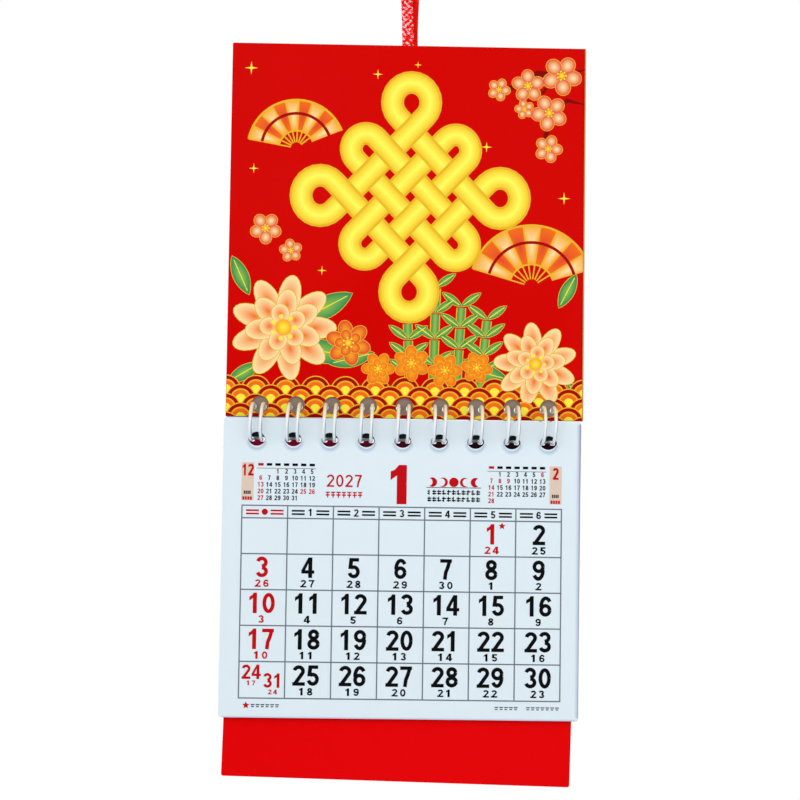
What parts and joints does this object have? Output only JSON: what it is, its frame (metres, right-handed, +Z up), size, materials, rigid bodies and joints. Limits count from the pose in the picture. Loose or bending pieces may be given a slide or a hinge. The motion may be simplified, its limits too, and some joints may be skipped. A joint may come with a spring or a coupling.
{
  "type": "wall calendar",
  "caption": "Small hanging wall calendar: glossy header card on a cord loop, with a block of month sheets and a backing board strung below it on a white twin-loop wire.",
  "frame": {"origin": "centre of the nail that the cord loop hangs on", "axes": "+Z up, the calendar's length; the printed front faces -Y; +X to the right as seen from the front"},
  "size_m": [0.084, 0.0115, 0.2351],
  "materials": {
    "header_card": "gloss laminated print",
    "patch_paper": "uncoated",
    "cord": "braided",
    "wire": "semi-gloss",
    "sheets": "matte",
    "board": "satin"
  },
  "bodies": {
    "header": {"header_card": "header_card", "cord_patch": "patch_paper", "hanging_cord": "cord"},
    "binding": {"wire_binding": "wire"},
    "pages": {"month_pages": "sheets"},
    "board": {"backing_board": "board"}
  },
  "joints": [
    {"name": "binding_turn", "type": "hinge", "parent": "header", "child": "binding", "pos_m": [0, -0.0045, -0.1478], "axis": [1, 0, 0], "range_deg": [0, 60]},
    {"name": "page_flip", "type": "hinge", "parent": "binding", "child": "pages", "pos_m": [0, -0.0045, -0.1478], "axis": [-1, 0, 0], "range_deg": [0, 175]},
    {"name": "board_swing", "type": "hinge", "parent": "binding", "child": "board", "pos_m": [0, -0.0045, -0.1478], "axis": [1, 0, 0], "range_deg": [0, 10]}
  ]
}
